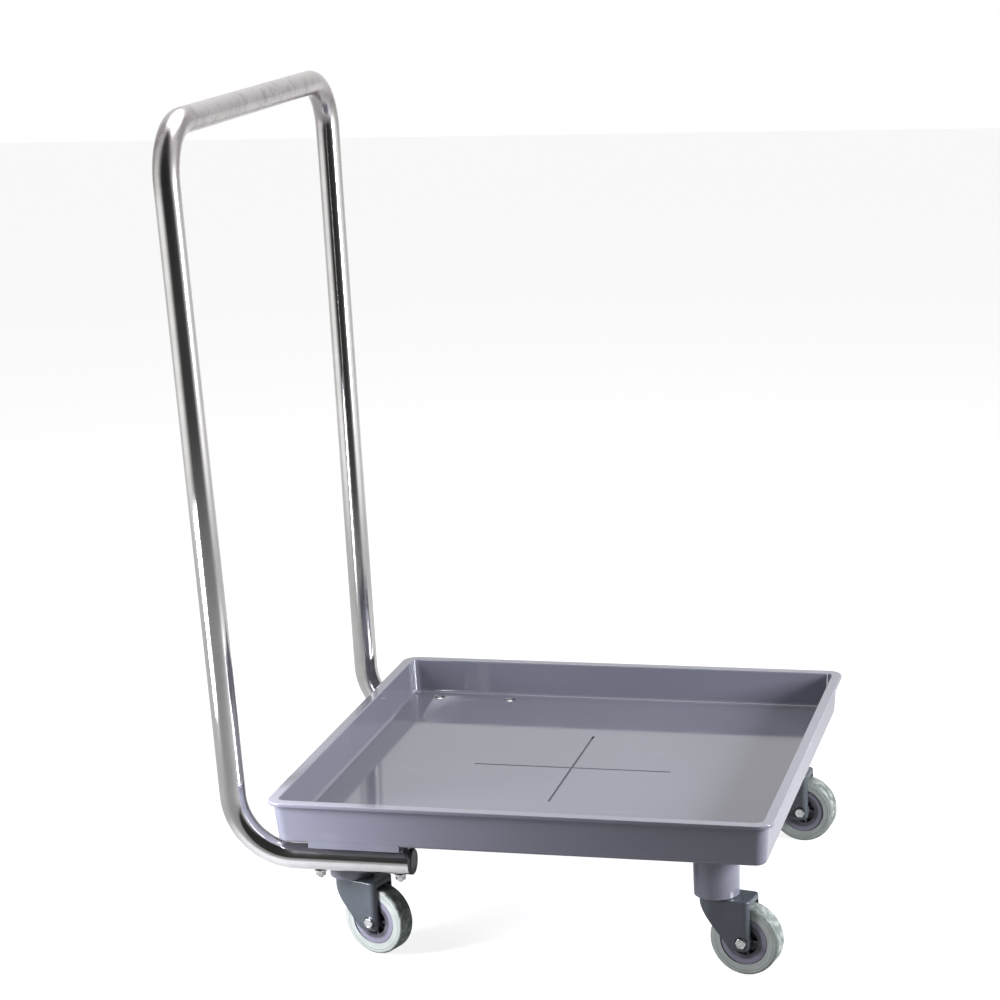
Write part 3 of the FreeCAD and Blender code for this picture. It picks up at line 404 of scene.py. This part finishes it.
def wheel_radius(node, corner):
    """A point's distance from its wheel's axle."""
    joint = joints[f"roll_{corner}"]
    axis = tuple(joint["axis"])
    away = node("ShaderNodeVectorMath", operation="SUBTRACT",
                inputs={0: object_place(node), 1: tuple(joint["pos_m"])}).outputs[0]
    along = node("ShaderNodeVectorMath", operation="DOT_PRODUCT",
                 inputs={0: away, 1: axis}).outputs["Value"]
    side = node("ShaderNodeVectorMath", operation="SCALE", inputs={0: axis, "Scale": along})
    out = node("ShaderNodeVectorMath", operation="SUBTRACT", inputs={0: away, 1: side.outputs[0]})
    radius = node("ShaderNodeVectorMath", operation="LENGTH", inputs={0: out.outputs[0]})
    return radius.outputs["Value"]


def tyre_rubber(corner):
    """Pale grey-green rubber: a moulded ring on each side, a scuffed and dirty tread."""
    material, tree, shader, node = new_material(f"tyre_rubber_{corner}")
    place = object_place(node)
    radius = wheel_radius(node, corner)
    mottle = spread(node, noise(node, place, 70.0, 4.0), 0.3, 0.7, 0.9, 1.08)
    tread = spread(node, radius, TREAD_FROM, TREAD_FULL, smooth=True)
    dirt = times(node, tread, spread(node, noise(node, place, 120.0, 6.0, 0.75), 0.36, 0.54))
    stain = spread(node, noise(node, place, 45.0, 5.0, 0.7), 0.52, 0.72, 0.0, 0.4)
    rubber = scaled(node, TYRE_RUBBER, mottle)
    grimy = mix_colours(node, dirt, rubber, TREAD_DIRT)
    tree.links.new(mix_colours(node, stain, grimy, TYRE_STAIN), shader.inputs["Base Color"])
    tree.links.new(spread(node, noise(node, place, 90.0, 4.0), 0.3, 0.7, 0.42, 0.62),
                   shader.inputs["Roughness"])
    ring = times(node, spread(node, radius, *RING_INNER, smooth=True),
                 spread(node, radius, *RING_OUTER, 1.0, 0.0, smooth=True))
    relief = node("ShaderNodeMath", operation="MULTIPLY_ADD", inputs={
        0: noise(node, place, 900.0, 3.0), 1: 0.12, 2: ring}).outputs[0]
    bump(tree, node, shader, relief, 0.0005)
    return material


def hub_plastic(corner):
    """Purple-grey moulded hub, darkened to near black towards its axle."""
    material, tree, shader, node = new_material(f"hub_grey_{corner}")
    place = object_place(node)
    radius = wheel_radius(node, corner)
    mottle = spread(node, noise(node, place, 60.0, 3.0), 0.3, 0.7, 0.93, 1.07)
    base = scaled(node, HUB_GREY, mottle)
    # The hub darkened to near black towards its axle
    axle_dark = times(node, spread(node, radius, AXLE_DARK_FROM, AXLE_DARK_FULL, smooth=True),
                  spread(node, noise(node, place, 90.0, 4.0), 0.3, 0.62, 0.55, 0.95))
    tree.links.new(mix_colours(node, axle_dark, base, HUB_AXLE_DARK), shader.inputs["Base Color"])
    tree.links.new(spread(node, noise(node, place, 80.0, 4.0), 0.35, 0.7, 0.3, 0.48),
                   shader.inputs["Roughness"])
    bump(tree, node, shader, noise(node, place, 1500.0, 2.0), 0.00003)
    return material


def tube_steel():
    """Polished stainless tube: lines along the tube, smudges, a tarnished grip."""
    material, tree, shader, node = new_material("polished_steel")
    shader.inputs["Metallic"].default_value = 1.0
    place = object_place(node)
    height = node("ShaderNodeSeparateXYZ", inputs={0: place}).outputs["Z"]

    def drawn(stretch):
        """Fine lines along the axis in which the stretch is small."""
        pulled = node("ShaderNodeVectorMath", operation="MULTIPLY", inputs={0: place, 1: stretch})
        return noise(node, pulled.outputs[0], 1.0, 4.0)

    lines = drawn((900.0, 900.0, 10.0))
    for stretch, low, high in (((10.0, 900.0, 900.0), 0.17, 0.14),
                               ((900.0, 10.0, 900.0), 0.86, 0.885)):
        grain = drawn(stretch)
        lines = node("ShaderNodeMix", data_type="FLOAT", inputs={
            0: spread(node, height, low, high, smooth=True), 2: lines, 3: grain}).outputs[0]
    smudge = noise(node, place, 34.0, 6.0, 0.65)
    grip = spread(node, height, GRIP_FOOT, GRIP_FULL, smooth=True)
    tone = spread(node, smudge, 0.3, 0.75, 1.05, 0.88)
    base = scaled(node, STEEL, tone)
    dull = mix_colours(node, times(node, grip, 0.9), base, scaled(node, GRIP_TARNISH, tone))
    blotch = times(node, grip, spread(node, noise(node, place, 26.0, 7.0, 0.75), 0.5, 0.64))
    tree.links.new(mix_colours(node, times(node, blotch, 0.6), dull, GRIP_BLOTCH),
                   shader.inputs["Base Color"])
    gloss = spread(node, smudge, 0.3, 0.75, 0.075, 0.16)
    rough = node("ShaderNodeMath", operation="MULTIPLY_ADD",
                 inputs={0: grip, 1: 0.14, 2: gloss}).outputs[0]
    tree.links.new(rough, shader.inputs["Roughness"])
    bump(tree, node, shader, lines, 0.00002, 0.5)
    return material


def bright_zinc():
    """Zinc-plated steel: fine grain and dull patches."""
    material, tree, shader, node = new_material("bright_zinc")
    shader.inputs["Metallic"].default_value = 1.0
    place = object_place(node)
    patch = noise(node, place, 260.0, 5.0, 0.65)
    tree.links.new(mix_colours(node, spread(node, patch, 0.42, 0.66), ZINC, DULL_ZINC),
                   shader.inputs["Base Color"])
    tree.links.new(spread(node, patch, 0.35, 0.7, 0.18, 0.38), shader.inputs["Roughness"])
    bump(tree, node, shader, noise(node, place, 1800.0, 3.0), 0.00003)
    return material


def dress(material, *names):
    """Give CAD nodes a material."""
    for name in names:
        for slot in frame["nodes"][name].material_slots:
            slot.material = material


# Fasteners with threads and chamfers, in place of the plain ones

# Metres, except the steps in a turn of the thread and its depth as a share of the pitch
SHANK = 0.003
THREAD_PITCH = 0.001
THREAD_STEPS = 20
THREAD_DEPTH = 0.6
HEAD_HEIGHT = 0.002
NUT_HEIGHT = 0.005
# From the lower or upper face of a pair of nuts' box to the middle of the nut there
NUT_MIDDLE = 0.0027
# A chamfered hexagon's round face, as a share of its flats, and how steeply its corners drop
FACE_SHARE = 0.475
CORNER_SLOPE = 0.58
# Heights above a tray bolt's lower end
BOLT_POINT = 0.0007
BOLT_THREAD_FROM = 0.0011
BOLT_THREAD_TO = 0.0215
BOLT_CORE_TO = 0.022
BOLT_SHANK_FROM = 0.0225
# Distances from an axle bolt's threaded end
AXLE_POINT = 0.0007
AXLE_THREAD_FROM = 0.0011
AXLE_THREAD_TO = 0.0088
AXLE_CORE_TO = 0.009
AXLE_SHANK_FROM = 0.0094
# Only an axle bolt's head is wider than this radius, and its rod reaches this far into the head
HEAD_ONLY = SHANK + 0.0004
ROD_IN_HEAD = 0.0002


def ringed_mesh(name, rings, place, segments=48):
    """A closed mesh of rings; each ring gives a radius and a height for an angle."""
    work = bmesh.new()
    rows = []
    for ring in rings:
        row = []
        for step in range(segments):
            angle = 2.0 * math.pi * step / segments
            radius, height = ring(angle)
            row.append(work.verts.new((radius * math.cos(angle), radius * math.sin(angle),
                                       height)))
        rows.append(row)
    for low, high in zip(rows, rows[1:]):
        for step in range(segments):
            after = (step + 1) % segments
            work.faces.new((low[step], low[after], high[after], high[step]))
    work.faces.new(rows[0][::-1])
    work.faces.new(rows[-1])
    bmesh.ops.recalc_face_normals(work, faces=work.faces)
    mesh = bpy.data.meshes.new(name)
    work.to_mesh(mesh)
    work.free()
    mesh.transform(place)
    mesh.shade_smooth()
    mesh.set_sharp_from_angle(angle=math.radians(32.0))
    return mesh


def circle_ring(radius, height):
    """A round ring."""
    return lambda angle: (radius, height)


def hexagon_ring(flats, height, slope=0.0, round_radius=0.0):
    """A six-sided ring with a corner at angle 0; its corners drop along a chamfer."""

    def ring(angle):
        radius = flats / 2.0 / math.cos(angle % (math.pi / 3.0) - math.pi / 6.0)
        return radius, height - slope * (radius - round_radius)

    return ring


def nut_rings(flats, bore, height):
    """A chamfered nut about its middle."""
    face = flats * FACE_SHARE
    half = height / 2.0
    lead = bore * 0.12
    return [circle_ring(bore, lead - half), circle_ring(bore + lead, -half),
            circle_ring(face, -half), hexagon_ring(flats, -half, -CORNER_SLOPE, face),
            hexagon_ring(flats, half, CORNER_SLOPE, face), circle_ring(face, half),
            circle_ring(bore + lead, half), circle_ring(bore, half - lead)]


def head_rings(flats, height):
    """A chamfered hexagon head that stands on a thin round face."""
    face = flats * FACE_SHARE
    return [circle_ring(face, 0.0), circle_ring(face, height * 0.1),
            hexagon_ring(flats, height * 0.1), hexagon_ring(flats, height, CORNER_SLOPE, face),
            circle_ring(face, height), circle_ring(face * 0.86, height),
            circle_ring(face * 0.8, height * 0.93)]


def thread_mesh(name, radius, pitch, low, high, place):
    """The ridge of a screw thread: one helix between two heights."""
    depth = pitch * THREAD_DEPTH
    steps = THREAD_STEPS
    count = int((high - low) / pitch * steps)
    work = bmesh.new()
    last = None
    for step in range(count + 1):
        angle = 2.0 * math.pi * step / steps
        height = low + pitch * step / steps
        fade = min(1.0, step / steps, (count - step) / steps)
        crest = radius - depth * (1.0 - fade)
        root = radius - depth * 1.15
        row = [work.verts.new((r * math.cos(angle), r * math.sin(angle), height + rise * pitch))
               for r, rise in ((root, -0.46), (crest, -0.06), (crest, 0.06), (root, 0.46))]
        if last:
            for index in range(4):
                after = (index + 1) % 4
                work.faces.new((last[index], row[index], row[after], last[after]))
        else:
            work.faces.new(row)
        last = row
    work.faces.new(last[::-1])
    bmesh.ops.recalc_face_normals(work, faces=work.faces)
    mesh = bpy.data.meshes.new(name)
    work.to_mesh(mesh)
    work.free()
    mesh.transform(place)
    mesh.shade_smooth()
    mesh.set_sharp_from_angle(angle=math.radians(40.0))
    return mesh


def joined(name, meshes, material):
    """One piece of several meshes."""
    work = bmesh.new()
    for mesh in meshes:
        work.from_mesh(mesh)
        bpy.data.meshes.remove(mesh)
    mesh = bpy.data.meshes.new(name)
    work.to_mesh(mesh)
    work.free()
    mesh.materials.append(material)
    return link(bpy.data.objects.new(name, mesh))


def settle(piece, body, slot, *nodes):
    """A piece rides on a body and stands for CAD nodes."""
    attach(piece, body)
    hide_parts(*nodes)


def build_tray_fasteners(side, material):
    """Threaded bolts with a socket in their low heads, and chamfered nuts below the leg."""
    low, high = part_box(f"tray_bolts_{side}")
    middle = (low.y + high.y) / 2.0
    head = (high.y - low.y) / 2.0
    rise = HEAD_HEIGHT
    seat = high.z - rise
    meshes = []
    for index, x in enumerate((low.x + head, high.x - head)):
        place = Matrix.Translation((x, middle, 0.0))
        core = SHANK - THREAD_DEPTH * THREAD_PITCH
        rings = [circle_ring(core * 0.55, low.z), circle_ring(core, low.z + BOLT_POINT),
                 circle_ring(core, low.z + BOLT_CORE_TO),
                 circle_ring(SHANK, low.z + BOLT_SHANK_FROM),
                 circle_ring(SHANK, seat), circle_ring(head, seat),
                 circle_ring(head, seat + rise * 0.3), circle_ring(head * 0.86, seat + rise * 0.72),
                 circle_ring(head * 0.62, seat + rise), circle_ring(head * 0.42, seat + rise),
                 hexagon_ring(head * 0.66, seat + rise * 0.9),
                 hexagon_ring(head * 0.66, seat + rise * 0.15)]
        meshes.append(ringed_mesh(f"bolt_{side}_{index}", rings, place))
        meshes.append(thread_mesh(f"thread_{side}_{index}", SHANK, THREAD_PITCH,
                                  low.z + BOLT_THREAD_FROM, low.z + BOLT_THREAD_TO, place))
    settle(joined(f"threaded_bolts_{side}", meshes, material), "chassis", "fastener_steel",
           f"tray_bolts_{side}")

    low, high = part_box(f"tray_nuts_{side}")
    flats = high.y - low.y
    across = flats / math.cos(math.pi / 6.0)
    ends = (Vector((low.x + across / 2.0, middle, low.z + NUT_MIDDLE)),
            Vector((high.x - across / 2.0, middle, high.z - NUT_MIDDLE)))
    tip = math.atan2(ends[1].z - ends[0].z, ends[1].x - ends[0].x)
    meshes = [ringed_mesh(f"nut_{side}_{index}", nut_rings(flats, SHANK, NUT_HEIGHT),
                          Matrix.Translation(end) @ Matrix.Rotation(-tip, 4, "Y"))
              for index, end in enumerate(ends)]
    settle(joined(f"hex_nuts_{side}", meshes, material), "chassis", "fastener_steel",
           f"tray_nuts_{side}")


def axle_reach(name, origin, axis, least=0.0):
    """A node's ends along an axle beyond a least radius, its widest radius and that corner's way."""
    low, high, widest, way = 1.0, -1.0, 0.0, None
    for vertex in frame["nodes"][name].data.vertices:
        away = vertex.co - origin
        along = away.dot(axis)
        out = away - axis * along
        if out.length > least:
            low, high = min(low, along), max(high, along)
        if out.length > widest:
            widest, way = out.length, out.normalized()
    return low, high, widest, way


def build_axle_fasteners(corner, material):
    """The axle bolt's chamfered head and threaded end, and its nut."""
    joint = joints[f"roll_{corner}"]
    origin, axis = Vector(joint["pos_m"]), Vector(joint["axis"]).normalized()

    def axle_frame(way, point):
        """Local Z along the axle towards the head, X through a corner of the hexagon."""
        up = axis * point
        matrix = Matrix((way, up.cross(way), up)).transposed().to_4x4()
        return Matrix.Translation(origin) @ matrix

    low, high, widest, way = axle_reach(f"axle_bolt_{corner}", origin, axis, HEAD_ONLY)
    end_low, end_high, _, _ = axle_reach(f"axle_bolt_{corner}", origin, axis)
    point = -1.0 if low < 0 else 1.0
    head_foot = min(abs(low), abs(high))
    head_top = max(abs(low), abs(high))
    tail = end_high if point < 0 else -end_low
    flats = 2.0 * widest * math.cos(math.pi / 6.0)
    place = axle_frame(way, point)
    lift = place @ Matrix.Translation((0.0, 0.0, head_foot))
    rod = [circle_ring(SHANK * 0.6, -tail), circle_ring(SHANK * 0.8, AXLE_POINT - tail),
           circle_ring(SHANK * 0.8, AXLE_CORE_TO - tail),
           circle_ring(SHANK, AXLE_SHANK_FROM - tail), circle_ring(SHANK, head_foot + ROD_IN_HEAD)]
    meshes = [ringed_mesh(f"axle_head_{corner}", head_rings(flats, head_top - head_foot), lift),
              ringed_mesh(f"axle_rod_{corner}", rod, place, segments=24),
              thread_mesh(f"axle_thread_{corner}", SHANK, THREAD_PITCH, AXLE_THREAD_FROM - tail,
                          AXLE_THREAD_TO - tail, place)]
    settle(joined(f"axle_screw_{corner}", meshes, material), f"caster_{corner}",
           "fastener_steel", f"axle_bolt_{corner}")

    low, high, widest, way = axle_reach(f"axle_nut_{corner}", origin, axis)
    flats = 2.0 * widest * math.cos(math.pi / 6.0)
    rings = nut_rings(flats, SHANK, high - low)
    lift = axle_frame(way, 1.0) @ Matrix.Translation((0.0, 0.0, (low + high) / 2.0))
    settle(joined(f"axle_hex_nut_{corner}", [ringed_mesh(f"axle_nut_mesh_{corner}", rings, lift)],
                  material), f"caster_{corner}", "fastener_steel", f"axle_nut_{corner}")


place_camera()
build_stage()
build_world()
build_lights()

tray_grey = tray_plastic()
steel = tube_steel()
bright = bright_zinc()
cap_black = moulded_plastic("cap_black", CAP_BLACK, 0.5, 1500.0, 0.00002)
fork_grey = moulded_plastic("fork_charcoal", FORK_CHARCOAL, 0.32, 1500.0, 0.00003)

dress(tray_grey, "tray")
dress(steel, "handle_hoop", *[f"{piece}_{side}" for piece in ("handle_leg", "handle_spigot")
                              for side in SIDES])
dress(cap_black, *[f"end_cap_{side}" for side in SIDES])
for side in SIDES:
    dress(bright, f"tray_washers_{side}")
    build_tray_fasteners(side, bright)
for corner in CORNERS:
    dress(fork_grey, f"fork_{corner}", f"stem_socket_{corner}")
    dress(hub_plastic(corner), f"wheel_hub_{corner}")
    dress(tyre_rubber(corner), f"tyre_{corner}")
    dress(bright, *[f"{piece}_{corner}" for piece in (
        "caster_stem", "swivel_bearing", "axle_sleeve")])
    build_axle_fasteners(corner, bright)
